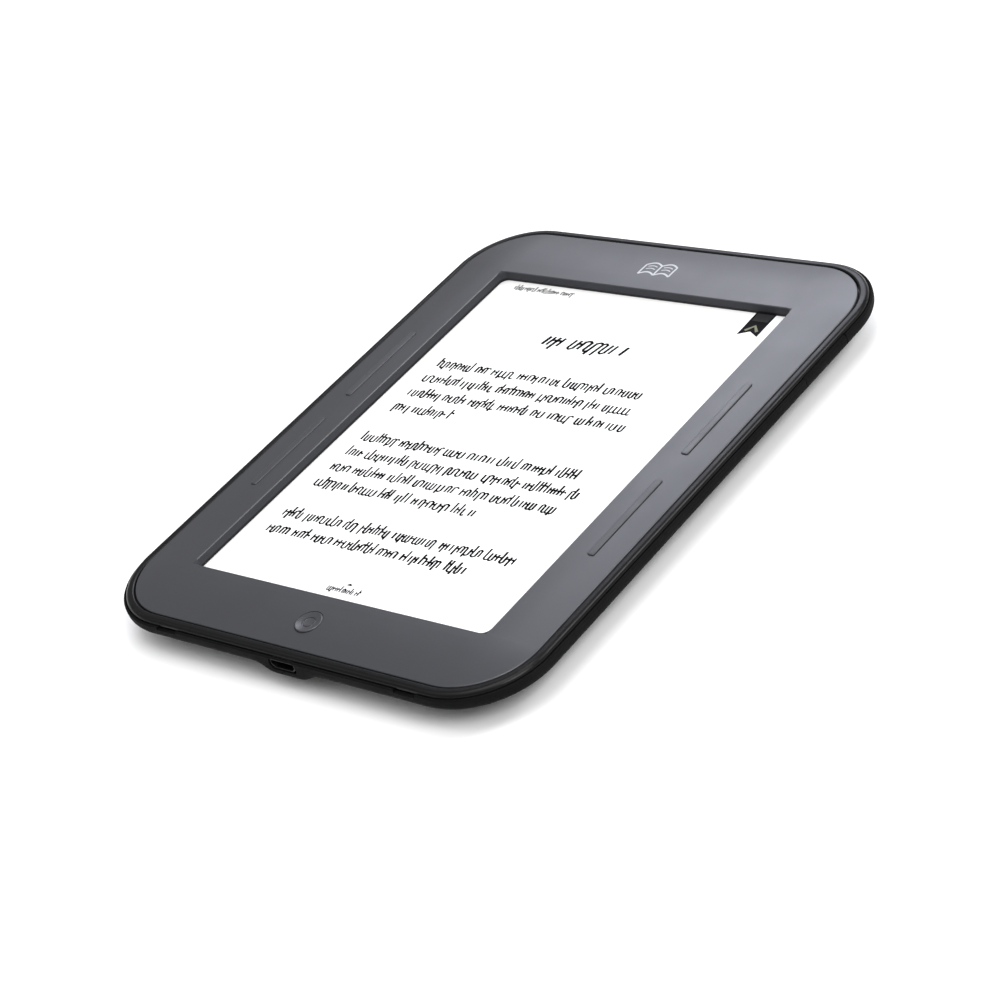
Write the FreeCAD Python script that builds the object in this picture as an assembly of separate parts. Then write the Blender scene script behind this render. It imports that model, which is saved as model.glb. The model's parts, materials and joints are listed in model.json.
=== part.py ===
"""Six-inch e-reader as an assembly of separate solids, one STEP file for each node.

Row frame, in millimetres: +X to the reader's right, +Y to its top edge, +Z out of the screen.
The reader lies on its back, and Z = 0 is the flat land of the rear cover that it rests on.
"""
import FreeCAD, Part
import math
import os

V = FreeCAD.Vector

# ---- driving dimensions -------------------------------------------------------------------
WIDTH = 127.0            # across the rear cover
HEIGHT = 165.1           # along the rear cover
CORNER = 20.3            # corner radius of the outline
FACE_TOP = 11.75         # bezel height at the window's edge
FACE_W, FACE_H = 120.4, 158.4
FACE_CORNER = 17.2
CROWN_DROP = 0.975       # how far the bezel's face falls from the window to its rim
CROWN_RUN = 14.35        # the width over which it falls
BEZEL_T = 1.2
SKIRT_Z = 9.4            # lower edge of the bezel's skirt
WINDOW_W, WINDOW_H, WINDOW_R = 91.7, 122.8, 2.0
WINDOW_Y = -1.04         # centre of the window
SCREEN_DEPTH = 2.8       # from the window's edge down to the page

WALL = 1.3               # rear cover
LIP_TOP = 9.75           # rear cover's upper edge
LIP_ROUND = 0.4          # its outer rounding
EDGE_LOW = 6.95          # where the edge band would meet the sloping back
EDGE_ROUND = 2.1
RELIEF_Z, RELIEF_WALL = 9.35, 0.55     # the lip is thinner above this height
LAND_W, LAND_H, LAND_R = 95.4, 133.5, 12.0
LAND_ROUND = 8.0
DISH_DEPTH = 1.0
DISH_W, DISH_H = 80.0, 114.0
DISH_SLOPE = 6.0
DISH_ROUND = 12.0

RIM_TOP = 10.8
RIM_INNER = 3.1          # inner side of the rim, in from the outline
RIM_OUTER = 0.8          # outer side of the rim's bead, in from the outline
RIM_ROUND = 1.2
RIM_WALL_OUTER = 1.65

KEY_X = 52.7
KEY_LENGTH, KEY_WIDTH = 27.4, 1.9
KEY_CENTRES = (17.7, -19.3)
KEY_PROUD, KEY_ROUND = 0.30, 0.27
KEY_GAP = 0.08
BUTTON_GAP = 0.10

HOME_Y = -71.2
HOME_R = 3.4

POWER_Y = 71.0
POWER_W, POWER_H = 13.0, 6.0

USB_Z = 7.95
TONGUE_HALF, TONGUE_FLAT, TONGUE_DROP = 10.4, 3.4, 2.2
TONGUE_ROUND = 1.9
TONGUE_TOP = 2.6         # how far it reaches up inside the edge band
TONGUE_RUN = 19.0        # length along the reader

DOOR_Y0, DOOR_Y1 = 38.2, 55.8
DOOR_BOTTOM = 6.75
DOOR_PIVOT_X, DOOR_PIVOT_Z = 62.72, 8.97
DOOR_BARREL = 0.78
DOOR_PIN = 0.30
DOOR_BORE = 0.36

LATCH_X, LATCH_W = 37.3, 6.3   # notches for an accessory cover
LATCH_Z, LATCH_DEPTH = 9.0, 1.35

GLASS_Z, GLASS_T = 7.75, 0.7
CHASSIS_Z, CHASSIS_T = 6.9, 0.75
TOUCH_Z, TOUCH_T = 9.0, 0.5
BOARD_Z, BOARD_T = 5.5, 0.9
SCREW_PLACES = [(x, y) for y in (38.5, -0.8, -45.0) for x in (-56.0, 56.0)]
SCREW_PLACES += [(-34.0, 71.5), (34.0, 71.5), (-18.0, -74.5), (18.0, -74.5)]
BOARD_SCREWS = [(17.0, 62.0), (47.0, 31.0), (17.0, -50.0), (-40.0, -51.0), (46.5, -50.0)]
TRAY_SCREWS = [(-43.0, 46.9), (3.0, 46.9), (-43.0, -46.3)]

SCREEN_Z = FACE_TOP - SCREEN_DEPTH
CHASSIS_TOP = CHASSIS_Z + CHASSIS_T
BOARD_TOP = BOARD_Z + BOARD_T
TOUCH_TOP = TOUCH_Z + TOUCH_T
SLOPE_RUN = (WIDTH - LAND_W) / 2 / EDGE_LOW     # inward run of the back for each mm down


# ---- shape helpers ------------------------------------------------------------------------
def box(x0, x1, y0, y1, z0, z1):
    return Part.makeBox(x1 - x0, y1 - y0, z1 - z0, V(x0, y0, z0))


def rod(x, y, z0, z1, r):
    return Part.makeCylinder(r, z1 - z0, V(x, y, z0))


def rod_y(x, z, y0, y1, r):
    return Part.makeCylinder(r, y1 - y0, V(x, y0, z), V(0, 1, 0))


def fuse(shapes):
    first, rest = shapes[0], shapes[1:]
    return first.fuse(rest).removeSplitter() if rest else first


def cut(shape, tools):
    return shape.cut(Part.makeCompound(tools) if len(tools) > 1 else tools[0])


def outline(w, h, r, z, cx=0.0, cy=0.0):
    """Closed wire of a rectangle with round corners, in the plane Z = z."""
    x0, x1, y0, y1 = cx - w / 2, cx + w / 2, cy - h / 2, cy + h / 2
    k = r * (1 - math.sqrt(0.5))

    def line(a, b):
        return Part.LineSegment(V(*a, z), V(*b, z)).toShape()

    def arc(a, b, c):
        return Part.Arc(V(*a, z), V(*b, z), V(*c, z)).toShape()

    return Part.Wire([
        line((x0 + r, y0), (x1 - r, y0)), arc((x1 - r, y0), (x1 - k, y0 + k), (x1, y0 + r)),
        line((x1, y0 + r), (x1, y1 - r)), arc((x1, y1 - r), (x1 - k, y1 - k), (x1 - r, y1)),
        line((x1 - r, y1), (x0 + r, y1)), arc((x0 + r, y1), (x0 + k, y1 - k), (x0, y1 - r)),
        line((x0, y1 - r), (x0, y0 + r)), arc((x0, y0 + r), (x0 + k, y0 + k), (x0 + r, y0)),
    ])


def slab(w, h, r, z0, z1, cx=0.0, cy=0.0):
    return Part.Face(outline(w, h, r, z0, cx, cy)).extrude(V(0, 0, z1 - z0))


def frame(w, h, r, wall, z0, z1, cy=0.0):
    """Flat ring between an outline and the same outline moved inward by wall."""
    inner = slab(w - 2 * wall, h - 2 * wall, max(r - wall, 0.3), z0, z1, 0, cy)
    return slab(w, h, r, z0, z1, 0, cy).cut(inner)


def taper(w0, h0, r0, z0, w1, h1, r1, z1, cy=0.0):
    """Solid between two outlines at two heights."""
    return Part.makeLoft([outline(w0, h0, r0, z0, 0, cy), outline(w1, h1, r1, z1, 0, cy)], True, True)


def ring(edges, half_x, half_y):
    """Sweeps a closed (u, z) profile round a rectangle with half sides half_x and half_y.

    u is the distance outward from that rectangle, so the four corners are turned about its corners.
    edges are the profile's edges in the XZ plane, with u along X.
    """
    face = Part.Face(Part.Wire(edges))
    pieces = []
    for turn in range(4):
        a, b = (half_x, half_y) if turn % 2 == 0 else (half_y, half_x)
        straight = face.copy()
        straight.translate(V(a, -b, 0))
        straight = straight.extrude(V(0, 2 * b, 0))
        corner = face.copy()
        corner.translate(V(a, b, 0))
        corner = corner.revolve(V(a, b, 0), V(0, 0, 1), 90)
        for piece in (straight, corner):
            piece.rotate(V(0, 0, 0), V(0, 0, 1), 90 * turn)
            pieces.append(piece)
    return fuse(pieces)


def profile(points):
    """Edges of a closed profile. A point is (u, z), or (u, z, "arc") for the middle of an arc."""
    edges, i, n = [], 0, len(points)
    while i < n:
        a, b = points[i], points[(i + 1) % n]
        start = V(a[0], 0, a[1])
        if len(b) == 3:
            c = points[(i + 2) % n]
            edges.append(Part.Arc(start, V(b[0], 0, b[1]), V(c[0], 0, c[1])).toShape())
            i += 2
        else:
            edges.append(Part.LineSegment(start, V(b[0], 0, b[1])).toShape())
            i += 1
    return edges


def edges_at(shape, z, inside=None):
    """The edges that lie flat at height z, and within the box (x0, x1, y0, y1) if one is given."""
    found = []
    for edge in shape.Edges:
        b = edge.BoundBox
        if abs(b.ZMin - z) > 1e-3 or abs(b.ZMax - z) > 1e-3:
            continue
        if inside and not (inside[0] < b.XMin and b.XMax < inside[1]
                           and inside[2] < b.YMin and b.YMax < inside[3]):
            continue
        found.append(edge)
    return found


def slot(length, width, z0, z1, cx, cy):
    """Bar along X with half-round ends."""
    return slab(length, width, width / 2 - 1e-3, z0, z1, cx, cy)


def face_height(u):
    """Height of the crowned face at u, the distance outward from the face's corner rectangle."""
    run = max(0.0, u - (FACE_CORNER - CROWN_RUN))
    return FACE_TOP - CROWN_DROP * (run / CROWN_RUN) ** 2


def flex(points, x0, x1, thickness):
    """Flat cable of one thickness that follows (y, z) points, between x0 and x1."""
    pieces = []
    for (ya, za), (yb, zb) in zip(points, points[1:]):
        length = math.hypot(yb - ya, zb - za)
        piece = box(x0, x1, 0, length, -thickness / 2, thickness / 2)
        piece.rotate(V(0, 0, 0), V(1, 0, 0), math.degrees(math.atan2(zb - za, yb - ya)))
        piece.translate(V(0, ya, za))
        pieces.append(piece)
    for y, z in points[1:-1]:
        pieces.append(Part.makeCylinder(thickness / 2, x1 - x0, V(x0, y, z), V(1, 0, 0)))
    return fuse(pieces)


def save(name, shape):
    shape.exportStep(f"parts/{name}.step")


# ---- casing -------------------------------------------------------------------------------
def cover_outer():
    """The rear cover's outer shape as a full solid: edge band, rounded lip, sloping back."""
    back = taper(LAND_W, LAND_H, LAND_R, 0, WIDTH, HEIGHT, CORNER, EDGE_LOW)
    band = slab(WIDTH, HEIGHT, CORNER, EDGE_LOW, LIP_TOP)
    body = back.fuse(band).removeSplitter()
    body = body.makeFillet(EDGE_ROUND, edges_at(body, EDGE_LOW))
    body = body.makeFillet(LIP_ROUND, edges_at(body, LIP_TOP))
    return body.makeFillet(LAND_ROUND, edges_at(body, 0))


def tongue(lift=0.0, slim=0.0):
    """Swelling below the port: a section with S-shaped flanks, carried down the sloping back.

    lift raises it and slim narrows it and sets it back, for the space inside the wall.
    """
    width, height = TONGUE_HALF - TONGUE_FLAT, TONGUE_DROP
    radius = (width ** 2 + height ** 2) / (4 * height)
    turn = math.asin(width / 2 / radius)
    wide, flat = TONGUE_HALF - slim, TONGUE_FLAT - slim

    def upper(a):
        return wide - radius * math.sin(a), -radius * (1 - math.cos(a))

    def lower(a):
        return flat + radius * math.sin(a), -height + radius * (1 - math.cos(a))

    flank = [(wide, TONGUE_TOP), (wide, 0.0), upper(turn / 2) + ("arc",), upper(turn),
             lower(turn / 2) + ("arc",), (flat, -height)]
    mirrored = [(-point[0],) + point[1:] for point in flank[::-1]]
    section = Part.Face(Part.Wire(profile(flank + mirrored)))
    section.translate(V(0, -HEIGHT / 2 - SLOPE_RUN, EDGE_LOW + 1 + lift))
    reach = EDGE_LOW + 2
    swept = section.extrude(V(0, SLOPE_RUN * reach, -reach))
    front = -HEIGHT / 2 + slim
    return swept.common(box(-20, 20, front, front + TONGUE_RUN, slim, LIP_TOP - 0.5))


def rounded_tongue():
    """The outer tongue with its front lower edge rounded like the edge band."""
    body = tongue()
    front = [e for e in body.Edges if e.BoundBox.YMax < -HEIGHT / 2 + 1e-3 and e.BoundBox.ZMax < EDGE_LOW + 1e-3]
    return body.makeFillet(TONGUE_ROUND, front)


def wall_rise():
    """How far the inner side of the sloping wall lies above its outer side."""
    return WALL * math.sqrt(1 + SLOPE_RUN ** 2) / SLOPE_RUN


def cover_inner():
    """The space inside the rear cover, above its floor."""
    top_z = EDGE_LOW - WALL / SLOPE_RUN + wall_rise()
    half = (WALL - wall_rise()) * SLOPE_RUN
    low_w, low_h = LAND_W + 2 * half, LAND_H + 2 * half
    space = taper(low_w, low_h, LAND_R, WALL, WIDTH - 2 * WALL, HEIGHT - 2 * WALL, CORNER - WALL, top_z)
    above = slab(WIDTH - 2 * WALL, HEIGHT - 2 * WALL, CORNER - WALL, top_z, LIP_TOP + 1)
    return space.fuse(above)


def dish(depth, grow=0.0):
    """The shallow pan in the middle of the land, as a solid."""
    w, h = DISH_W + 2 * grow, DISH_H + 2 * grow
    return taper(w, h, 14, 0, w - 2 * DISH_SLOPE, h - 2 * DISH_SLOPE, 12, depth)


def dished(outer):
    """The outer shape with the pan cut into its land and both of the pan's edges softened."""
    body = outer.cut(dish(DISH_DEPTH))
    rims = edges_at(body, 0, (-DISH_W / 2 - 5, DISH_W / 2 + 5, -DISH_H / 2 - 5, DISH_H / 2 + 5))
    return body.makeFillet(DISH_ROUND, rims + edges_at(body, DISH_DEPTH))


def hook_places():
    """Where the cover's snap hooks are: (x, y, direction outward)."""
    side = [(s * (WIDTH / 2 - WALL), y, (s, 0)) for s in (-1, 1) for y in (-52.0, -12.0, 22.0, 60.0)]
    ends = [(x, s * (HEIGHT / 2 - WALL), (0, s)) for s in (-1, 1) for x in (-26.0, 26.0)]
    return side + ends


def hook(x, y, out, grow):
    """Snap hook, or with grow the hole that it catches in."""
    reach, half, z0, z1 = 0.75 + 2 * grow, 2.5 + grow, 8.6 - grow, 9.4 + grow
    inward = (-out[0], -out[1])
    along = (abs(out[1]), abs(out[0]))
    xs = sorted((x + out[0] * 0.4, x + inward[0] * reach))
    ys = sorted((y + out[1] * 0.4, y + inward[1] * reach))
    return box(xs[0] - along[0] * half, xs[1] + along[0] * half,
               ys[0] - along[1] * half, ys[1] + along[1] * half, z0, z1)


def power_prism(grow, z0, z1):
    return slot(POWER_W + 2 * grow, POWER_H + 2 * grow, z0, z1, 0, POWER_Y)


def door_space(outer):
    """The part of the cover that the card door and its barrel take up, with their gap."""
    gap = 0.2
    panel = box(60.9, 64, DOOR_Y0 - gap, DOOR_Y1 + gap, DOOR_BOTTOM - gap, DOOR_PIVOT_Z)
    barrel = rod_y(DOOR_PIVOT_X, DOOR_PIVOT_Z, DOOR_Y0 - gap, DOOR_Y1 + gap, DOOR_BARREL + 0.17)
    above = box(DOOR_PIVOT_X - 0.95, 64, DOOR_Y0 - gap, DOOR_Y1 + gap, DOOR_PIVOT_Z, LIP_TOP + 1)
    return fuse([panel, barrel, above])


def door_pin_bore(r):
    return rod_y(DOOR_PIVOT_X, DOOR_PIVOT_Z, DOOR_Y0 - 2.2, DOOR_Y1 + 2.2, r)


def card_slot():
    """Straight way for a memory card, from the door's bay into the reader."""
    mid = (DOOR_Y0 + DOOR_Y1) / 2
    return box(56, 62.5, mid - 6.0, mid + 6.0, 6.65, 7.75)


def latch_notches(z1):
    """The two notches in the lower edge, up to height z1."""
    y0 = -HEIGHT / 2
    return [box(s * LATCH_X - LATCH_W / 2, s * LATCH_X + LATCH_W / 2, y0 - 1, y0 + LATCH_DEPTH, LATCH_Z, z1)
            for s in (-1, 1)]


def rear_cover(outer):
    """Shell of the back: sloping sides, pan, tongue below the port, snap hooks and openings."""
    body = dished(outer).fuse(rounded_tongue())
    space = cover_inner().fuse(tongue(wall_rise(), WALL))
    shell = body.cut(space.cut(dish(DISH_DEPTH + WALL, WALL)))
    shell = shell.cut(slab(WIDTH - 2 * RELIEF_WALL, HEIGHT - 2 * RELIEF_WALL, CORNER - RELIEF_WALL,
                           RELIEF_Z, LIP_TOP + 1))
    shell = fuse([shell] + [hook(x, y, out, 0) for x, y, out in hook_places()])
    pocket = slot(POWER_W + 7, POWER_H - 1.2, 0, 8, 0, POWER_Y)
    thin = outer.copy()
    thin.translate(V(0, 0, 0.95))
    y_wall = -HEIGHT / 2
    port = slab(8.3, 3.1, 1.2, 0, 4)
    port.rotate(V(0, 0, 0), V(1, 0, 0), 90)
    port.translate(V(0, y_wall + 3, USB_Z))
    tools = [pocket.common(thin), power_prism(BUTTON_GAP, -1, 8), port, door_space(outer), card_slot(),
             door_pin_bore(DOOR_PIN)]
    tools += latch_notches(LIP_TOP + 1)
    nick = rod_y(64.2, DOOR_BOTTOM - 0.9, 44.5, 49.5, 2.2)      # room for a fingernail below the door
    return shell.cut(Part.makeCompound(tools)).cut(nick)


def outer_rim():
    """Black frame between the bezel and the rear cover, with the bead that shows all round."""
    u1 = CORNER - RIM_OUTER
    u0 = CORNER - RIM_INNER
    uw = CORNER - RIM_WALL_OUTER
    s = math.sqrt(0.5)
    mid_out = (u1 - RIM_ROUND + RIM_ROUND * s, RIM_TOP - RIM_ROUND + RIM_ROUND * s, "arc")
    mid_in = (u0 + 0.5 - 0.5 * s, RIM_TOP - 0.5 + 0.5 * s, "arc")
    flange = u0 - 1.85
    rim = ring(profile([
        (u0, 9.35), (u0, RIM_TOP - 0.5), mid_in, (u0 + 0.5, RIM_TOP), (u1 - RIM_ROUND, RIM_TOP), mid_out,
        (u1, RIM_TOP - RIM_ROUND), (uw, RIM_TOP - RIM_ROUND - 0.1), (uw, 8.3), (flange, 8.3),
        (flange, 9.35)]), WIDTH / 2 - CORNER, HEIGHT / 2 - CORNER)
    y_wall = -HEIGHT / 2
    tools = [hook(x, y, out, 0.12) for x, y, out in hook_places()]
    tools.append(box(-5.4, 5.4, y_wall, y_wall + 8, 6, 9.3))
    tools += latch_notches(LIP_TOP)
    tools.append(rod_y(DOOR_PIVOT_X, DOOR_PIVOT_Z, DOOR_Y0 - 0.3, DOOR_Y1 + 0.3, DOOR_BARREL + 0.22))
    tools.append(box(60.9, 64, DOOR_Y0 - 0.3, DOOR_Y1 + 0.3, 7, DOOR_PIVOT_Z - 0.2))
    for x, y in SCREW_PLACES:
        tools.append(rod(x, y, 8, 9.4, 2.1))
    return cut(rim, tools)


def front_bezel():
    """Crowned face plate with its skirt, window, key slots and screw bosses."""
    crest = FACE_CORNER - CROWN_RUN
    mid = (crest + FACE_CORNER - 0.3) / 2
    edge = FACE_CORNER
    inner = edge - BEZEL_T
    face_ring = ring(profile([
        (0, FACE_TOP), (crest, FACE_TOP), (mid, face_height(mid), "arc"), (edge - 0.3, face_height(edge - 0.3)),
        (edge - 0.08, face_height(edge) - 0.06, "arc"), (edge, face_height(edge) - 0.28), (edge, SKIRT_Z),
        (inner, SKIRT_Z), (inner, face_height(inner) - BEZEL_T), (mid, face_height(mid) - BEZEL_T, "arc"),
        (crest, FACE_TOP - BEZEL_T), (0, FACE_TOP - BEZEL_T)]),
        FACE_W / 2 - FACE_CORNER, FACE_H / 2 - FACE_CORNER)
    middle = slab(FACE_W - 2 * FACE_CORNER + 0.2, FACE_H - 2 * FACE_CORNER + 0.2, 0.05, FACE_TOP - BEZEL_T, FACE_TOP)
    bosses = []
    for x, y in SCREW_PLACES:
        u = max(abs(x) - (FACE_W / 2 - FACE_CORNER), abs(y) - (FACE_H / 2 - FACE_CORNER), 0)
        bosses.append(rod(x, y, CHASSIS_TOP, face_height(u) - 0.9, 1.6))
    body = fuse([face_ring, middle] + bosses)
    lid = 0.9
    tools = [slab(WINDOW_W, WINDOW_H, WINDOW_R, 8, 13, 0, WINDOW_Y)]
    chamfer = 0.22
    tools.append(taper(WINDOW_W, WINDOW_H, WINDOW_R, FACE_TOP - chamfer, WINDOW_W + 2 * chamfer,
                       WINDOW_H + 2 * chamfer, WINDOW_R + chamfer, FACE_TOP, WINDOW_Y))
    tools.append(slab(WINDOW_W + 8.6, WINDOW_H + 8.6, 4, 9, FACE_TOP - lid, 0, WINDOW_Y))
    for side in (-1, 1):
        for y in KEY_CENTRES:
            tools.append(slab(KEY_WIDTH + 2 * KEY_GAP, KEY_LENGTH + 2 * KEY_GAP, 0.6 + KEY_GAP, 9, 13,
                              side * KEY_X, y))
    tools.append(rod(0, HOME_Y, 9, 13, HOME_R + BUTTON_GAP))
    tools.append(rod(0, HOME_Y, 9, 10.65, HOME_R + 1.4))
    for x, y in SCREW_PLACES:
        tools.append(rod(x, y, CHASSIS_TOP - 1, 9.7, 0.8))
    return cut(body, tools)


def infrared_filter():
    """Dark ring that lines the window and lets the touch beams through."""
    return frame(WINDOW_W + 1.0, WINDOW_H + 1.0, WINDOW_R + 0.5, 0.5, SCREEN_Z + 0.12, FACE_TOP - 0.9, WINDOW_Y)


def card_door(outer):
    """Flap over the card slot: a panel with the cover's outer shape, hung from a barrel."""
    panel = box(61.95, 64, DOOR_Y0, DOOR_Y1, DOOR_BOTTOM, DOOR_PIVOT_Z)
    barrel = rod_y(DOOR_PIVOT_X, DOOR_PIVOT_Z, DOOR_Y0, DOOR_Y1, DOOR_BARREL)
    body = fuse([panel.common(outer), barrel])
    slim = outer.copy()
    slim.translate(V(-1.0, 0, 0))
    hollow = slim.common(box(60, 64, DOOR_Y0 + 1.2, DOOR_Y1 - 1.2, DOOR_BOTTOM + 0.7, DOOR_PIVOT_Z - 0.95))
    return body.cut(hollow).cut(door_pin_bore(DOOR_BORE))


# ---- display and touch --------------------------------------------------------------------
def display_glass():
    return slab(100, 137.5, 1.0, GLASS_Z, GLASS_Z + GLASS_T, 0, -3.25)


def epaper_film():
    return slab(94.4, 126.4, 0.6, GLASS_Z + GLASS_T, SCREEN_Z, 0, WINDOW_Y)


def display_driver():
    """Driver chip on the glass ledge, with the thin resin line beside it."""
    z = GLASS_Z + GLASS_T
    chip = slab(22, 1.6, 0.2, z, z + 0.4, -35, -68.7)
    return fuse([chip, box(-46, -24, -69.8, -69.3, z, z + 0.1)])


def display_flex():
    z = GLASS_Z + GLASS_T + 0.08
    under = CHASSIS_Z - 0.15
    return flex([(-70.5, z), (-72.6, z), (-73.3, z - 0.7), (-73.3, under + 0.5), (-72.8, under), (-65, under)],
                -44, -26, 0.15)


def display_connector():
    z0, z1 = BOARD_TOP, CHASSIS_Z - 0.23
    return box(-45, -25, -66.6, -63.6, z0, z1)


def display_tape():
    return Part.makeCompound([box(-47, 44, y0, y1, CHASSIS_TOP, GLASS_Z) for y0, y1 in ((-62, -54), (24, 36))])


def display_gasket():
    return frame(99.0, 131.4, 1.5, 1.8, GLASS_Z + GLASS_T, TOUCH_Z, WINDOW_Y - 0.3)


def touch_board():
    """Ring board round the window, with a tab below it that carries the home switch."""
    body = fuse([slab(99.6, WINDOW_H + 9.2, 2.5, TOUCH_Z, TOUCH_TOP, 0, WINDOW_Y),
                 slab(26, 11, 1.0, TOUCH_Z, TOUCH_TOP, 0, -70.2)])
    opening = slab(WINDOW_W + 1.3, WINDOW_H + 1.3, WINDOW_R + 0.5, TOUCH_Z - 1, TOUCH_TOP + 1, 0, WINDOW_Y)
    return body.cut(opening)


def infrared_parts(sides):
    """Side-looking emitters or detectors on two sides of the window, each with a domed lens."""
    half_w, half_h = WINDOW_W / 2 + 0.75, WINDOW_H / 2 + 0.75
    parts = []
    for side in sides:
        long_side = side in ("left", "right")
        count, span = (15, WINDOW_H - 6) if long_side else (11, WINDOW_W - 6)
        for i in range(count):
            s = -span / 2 + span * i / (count - 1)
            part = box(-1.25, 1.25, 0.35, 1.7, TOUCH_TOP, TOUCH_TOP + 1.2)
            lens = Part.makeSphere(0.5, V(0, 0.42, TOUCH_TOP + 0.65)).common(box(-1, 1, -1, 0.4, 0, 20))
            part = fuse([part, lens])
            turn, x, y = {"right": (-90, half_w, s), "left": (90, -half_w, s),
                          "top": (0, s, half_h), "bottom": (180, s, -half_h)}[side]
            part.rotate(V(0, 0, 0), V(0, 0, 1), turn)
            part.translate(V(x, y + WINDOW_Y, 0))
            parts.append(part)
    return Part.makeCompound(parts)


def touch_flex():
    z, under = TOUCH_TOP + 0.08, CHASSIS_Z - 0.15
    return flex([(-66.2, z), (-72.7, z), (-73.3, z - 0.6), (-73.3, under + 0.5), (-72.8, under), (-67, under)],
                24, 33, 0.15)


def touch_connector():
    return box(23.5, 33.5, -68.4, -65.9, BOARD_TOP, CHASSIS_Z - 0.23)


# ---- keys and buttons ---------------------------------------------------------------------
def page_key(side, y):
    """Long raised ridge with a wider foot under the bezel and two presser nubs."""
    x = side * KEY_X
    surface = face_height(KEY_X - (FACE_W / 2 - FACE_CORNER))
    top = surface + KEY_PROUD
    ridge = slab(KEY_WIDTH, KEY_LENGTH, 0.6, 9.9, top, x, y)
    ridge = ridge.makeFillet(KEY_ROUND, edges_at(ridge, top))
    under = face_height(KEY_X + 1.8 - (FACE_W / 2 - FACE_CORNER)) - BEZEL_T - 0.08
    foot = slab(3.6, KEY_LENGTH + 1.8, 0.9, 9.6, under, x, y)
    nubs = [rod(x, y + s * 8.0, 9.5, 9.7, 0.8) for s in (-1, 1)]
    return fuse([ridge, foot] + nubs)


def page_key_pads(side, y):
    """Two silicone blocks that push the key back up."""
    blocks = []
    for s in (-1, 1):
        blocks.append(slab(2.4, 2.6, 0.5, 8.77, 9.6, side * KEY_X, y + s * 12.4))
    return Part.makeCompound(blocks)


def key_flex(side):
    """Strip under two page keys, with a tail that folds under the chassis to the main board."""
    x = side * KEY_X
    strip = slab(3.4, 72.0, 0.6, 8.55, 8.75, x, -1.0)
    under = CHASSIS_Z - 0.15
    tail = flex([(-36, 8.65), (-48.6, 8.65), (-49.3, 7.95), (-49.3, under + 0.4), (-49.7, under), (-60, under)],
                x - 1.2, x + 1.2, 0.2)
    return fuse([strip, tail])


def key_domes(side):
    """Four snap domes on the strip."""
    domes = []
    for y in KEY_CENTRES:
        for s in (-1, 1):
            ball = Part.makeSphere(3.0, V(side * KEY_X, y + s * 8.0, 9.05 - 3.0))
            domes.append(ball.common(rod(side * KEY_X, y + s * 8.0, 8.75, 9.2, 1.5)))
    return Part.makeCompound(domes)


def home_button():
    """Round button with a dished top, a fine ring groove in the dish, and a foot under the bezel."""
    u = abs(HOME_Y) - (FACE_H / 2 - FACE_CORNER)
    top = face_height(u) + 0.16
    stem = rod(0, HOME_Y, 10.2, top, HOME_R)
    stem = stem.makeFillet(0.25, edges_at(stem, top))
    bowl = Part.makeSphere(14.0, V(0, HOME_Y, top - 0.35 + 14.0))
    groove = Part.makeTorus(1.5, 0.22, V(0, HOME_Y, top - 0.30))
    foot = rod(0, HOME_Y, 10.2, 10.58, HOME_R + 1.0)
    nub = rod(0, HOME_Y, 10.12, 10.3, 1.0)
    return cut(fuse([stem, foot, nub]), [bowl]).cut(groove)


def home_button_pad():
    return rod(0, HOME_Y, TOUCH_TOP, 10.2, 4.0).cut(rod(0, HOME_Y, 9, 11, 2.9))


def home_dome():
    """Snap dome: a thin round base with a low crown on it."""
    base_top, crown_top, crown_r = TOUCH_TOP + 0.07, TOUCH_TOP + 0.17, 8.0
    base = rod(0, HOME_Y, TOUCH_TOP, base_top, 2.2)
    ball = Part.makeSphere(crown_r, V(0, HOME_Y, crown_top - crown_r))
    return fuse([base, ball.common(rod(0, HOME_Y, base_top - 0.02, crown_top + 1, 1.3))])


def power_button(outer):
    """Oblong button whose face follows the sloping back, with two ears inside the cover."""
    proud = outer.copy()
    proud.translate(V(0, 0, -0.28))
    cap = power_prism(0, -1, 4.25).common(proud)
    ears = slot(POWER_W + 4, POWER_H - 2.6, 3.85, 4.35, 0, POWER_Y)
    presser = rod(0, POWER_Y, 4.0, 4.3, 1.2)
    face = outer.copy()
    face.translate(V(0, 0, 0.02))
    groove = slot(POWER_W - 3.4, POWER_H - 3.4, -1, 4, 0, POWER_Y)
    groove = groove.cut(slot(POWER_W - 4.2, POWER_H - 4.2, -2, 5, 0, POWER_Y)).cut(face)
    return fuse([cap, ears, presser]).cut(groove)


def power_button_pad():
    return Part.makeCompound([slab(1.8, 2.6, 0.4, 4.35, 6.05, s * 5.2, POWER_Y) for s in (-1, 1)])


def power_switch():
    body = box(-2.0, 2.0, POWER_Y - 1.6, POWER_Y + 1.6, 4.95, 6.05)
    return fuse([body, rod(0, POWER_Y, 4.75, 5.2, 0.9)])


def power_board():
    """Small board under the chassis for the power switch, on two posts."""
    body = slab(26, 7.0, 1.0, 6.05, 6.65, 0, POWER_Y - 0.3)
    posts = [rod(s * 10.5, POWER_Y - 0.3, 6.65, CHASSIS_Z, 1.3) for s in (-1, 1)]
    return fuse([body] + posts)


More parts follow.
